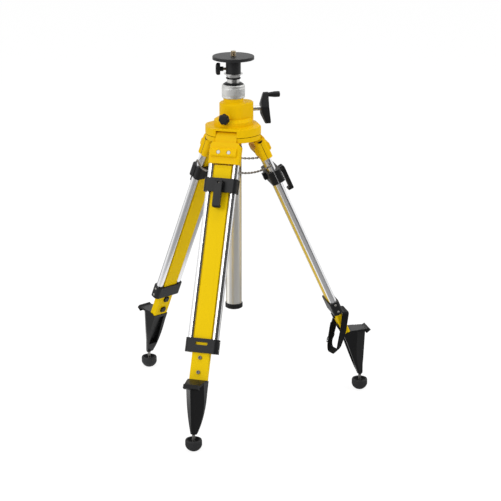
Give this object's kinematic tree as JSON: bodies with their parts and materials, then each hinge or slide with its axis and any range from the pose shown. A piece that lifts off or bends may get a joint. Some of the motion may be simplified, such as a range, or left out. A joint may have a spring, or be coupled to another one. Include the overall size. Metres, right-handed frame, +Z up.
{
  "type": "elevating tripod",
  "caption": "Surveying tripod with a crank-driven rack column, twist-locked extension tube, threaded instrument plate and folding, clamp-locked extending legs on swivelling rubber pads.",
  "frame": {"origin": "centre of the seat face of the head plate, at the base of the instrument stud", "axes": "+Z up along the column and the stud, +X along the right leg, on the side of the crank"},
  "size_m": [0.6798, 0.785, 1.1138],
  "materials": {
    "yellow_casting": "satin powder coat on cast metal",
    "yellow_profile": "semi-gloss paint on extruded aluminium",
    "black_paint": "satin black paint",
    "black_plastic": "moulded, lightly grained",
    "aluminium": "bright anodised",
    "chrome": "bright turned metal",
    "steel": "zinc plated",
    "brass": "turned",
    "rubber": "moulded, matt",
    "webbing": "woven webbing"
  },
  "bodies": {
    "head": {"gear_housing": "yellow_casting", "yoke_top": "yellow_casting", "yoke_bottom": "yellow_casting", "yoke_hardware": "steel", "right_rear_chain": "steel", "rear_front_chain": "steel", "front_right_chain": "steel"},
    "column": {"column_tube": "aluminium", "lift_rack": "steel", "column_cap": "black_plastic", "grip_collet": "black_plastic"},
    "collar": {"twist_collar": "aluminium", "collar_cap": "black_plastic"},
    "extension": {"extension_head": "chrome", "extension_tube": "chrome"},
    "plate": {"mount_plate": "black_paint", "instrument_stud": "brass"},
    "plate_knob": {"socket_knob": "black_plastic", "socket_screw": "brass"},
    "crank": {"pinion_shaft": "steel", "crank_arm": "black_paint"},
    "grip": {"crank_grip": "black_plastic"},
    "lock": {"lock_knob": "black_plastic"},
    "right_upper": {"right_head_outer": "yellow_casting", "right_head_inner": "yellow_casting", "right_leg_hardware": "steel", "right_tubes": "aluminium", "right_lower_sleeve": "black_plastic"},
    "right_lower": {"right_inner_leg": "yellow_profile", "right_clamp_outer": "black_plastic", "right_clamp_inner": "black_plastic", "right_bolts": "steel", "right_foot": "black_paint", "carry_strap": "webbing"},
    "right_lever": {"right_lever": "black_plastic"},
    "right_pad": {"right_rubber_pad": "rubber"},
    "rear_upper": {"rear_head_outer": "yellow_casting", "rear_head_inner": "yellow_casting", "rear_leg_hardware": "steel", "rear_tubes": "aluminium", "rear_lower_sleeve": "black_plastic"},
    "rear_lower": {"rear_inner_leg": "yellow_profile", "rear_clamp_outer": "black_plastic", "rear_clamp_inner": "black_plastic", "rear_bolts": "steel", "rear_foot": "black_paint"},
    "rear_lever": {"rear_lever": "black_plastic"},
    "rear_pad": {"rear_rubber_pad": "rubber"},
    "front_upper": {"front_head_outer": "yellow_casting", "front_head_inner": "yellow_casting", "front_leg_hardware": "steel", "front_tubes": "aluminium", "front_lower_sleeve": "black_plastic"},
    "front_lower": {"front_inner_leg": "yellow_profile", "front_clamp_outer": "black_plastic", "front_clamp_inner": "black_plastic", "front_bolts": "steel", "front_foot": "black_paint"},
    "front_lever": {"front_lever": "black_plastic"},
    "front_pad": {"front_rubber_pad": "rubber"}
  },
  "joints": [
    {"name": "column_lift", "type": "slide", "parent": "head", "child": "column", "axis": [0, 0, 1], "range_m": [0, 0.43]},
    {"name": "crank_turn", "type": "hinge", "parent": "head", "child": "crank", "pos_m": [0, 0.03182, -0.17], "axis": [-1, 0, 0], "range_deg": [0, 3290]},
    {"name": "grip_spin", "type": "hinge", "parent": "crank", "child": "grip", "pos_m": [0.106, 0.04681, -0.13291], "axis": [1, 0, 0], "continuous": true},
    {"name": "collar_twist", "type": "hinge", "parent": "column", "child": "collar", "pos_m": [0, 0, -0.1], "axis": [0, 0, 1], "range_deg": [0, 90]},
    {"name": "extension_lift", "type": "slide", "parent": "column", "child": "extension", "axis": [0, 0, 1], "range_m": [0, 0.4]},
    {"name": "plate_turn", "type": "hinge", "parent": "extension", "child": "plate", "pos_m": [0, 0, -0.03], "axis": [0, 0, 1], "continuous": true},
    {"name": "plate_knob_turn", "type": "hinge", "parent": "plate", "child": "plate_knob", "pos_m": [0, 0, -0.039], "axis": [-0.9744, 0.225, 0], "range_deg": [0, 180]},
    {"name": "lock_knob_turn", "type": "hinge", "parent": "head", "child": "lock", "pos_m": [0, 0, -0.18], "axis": [-0.6157, -0.788, 0], "range_deg": [0, 180]},
    {"name": "right_fold", "type": "hinge", "parent": "head", "child": "right_upper", "pos_m": [0.06, 0, -0.232], "axis": [0, 1, 0], "range_deg": [0, 22.3], "deforming": ["right_rear_chain", "front_right_chain"]},
    {"name": "right_extend", "type": "slide", "parent": "right_upper", "child": "right_lower", "axis": [0.4115, 0, -0.9114], "range_m": [0, 0.43]},
    {"name": "right_lever_open", "type": "hinge", "parent": "right_lower", "child": "right_lever", "pos_m": [0.14742, 0, -0.35272], "axis": [0, -1, 0], "range_deg": [0, 85]},
    {"name": "right_pad_turn", "type": "hinge", "parent": "right_lower", "child": "right_pad", "pos_m": [0.41252, 0, -1.07877], "axis": [0, 0, 1], "continuous": true},
    {"name": "rear_fold", "type": "hinge", "parent": "head", "child": "rear_upper", "pos_m": [-0.03, 0.05196, -0.232], "axis": [-0.866, -0.5, 0], "range_deg": [0, 22.3], "deforming": ["right_rear_chain", "rear_front_chain"]},
    {"name": "rear_extend", "type": "slide", "parent": "rear_upper", "child": "rear_lower", "axis": [-0.2058, 0.3564, -0.9114], "range_m": [0, 0.43]},
    {"name": "rear_lever_open", "type": "hinge", "parent": "rear_lower", "child": "rear_lever", "pos_m": [-0.07371, 0.12767, -0.35272], "axis": [0.866, 0.5, 0], "range_deg": [0, 85]},
    {"name": "rear_pad_turn", "type": "hinge", "parent": "rear_lower", "child": "rear_pad", "pos_m": [-0.20626, 0.35725, -1.07877], "axis": [0, 0, 1], "continuous": true},
    {"name": "front_fold", "type": "hinge", "parent": "head", "child": "front_upper", "pos_m": [-0.03, -0.05196, -0.232], "axis": [0.866, -0.5, 0], "range_deg": [0, 22.3], "deforming": ["rear_front_chain", "front_right_chain"]},
    {"name": "front_extend", "type": "slide", "parent": "front_upper", "child": "front_lower", "axis": [-0.2058, -0.3564, -0.9114], "range_m": [0, 0.43]},
    {"name": "front_lever_open", "type": "hinge", "parent": "front_lower", "child": "front_lever", "pos_m": [-0.07371, -0.12767, -0.35272], "axis": [-0.866, 0.5, 0], "range_deg": [0, 85]},
    {"name": "front_pad_turn", "type": "hinge", "parent": "front_lower", "child": "front_pad", "pos_m": [-0.20626, -0.35725, -1.07877], "axis": [0, 0, 1], "continuous": true}
  ],
  "couplings": [
    {"joint": "crank_turn", "follows": "column_lift", "rad_per_m": 133.33}
  ]
}
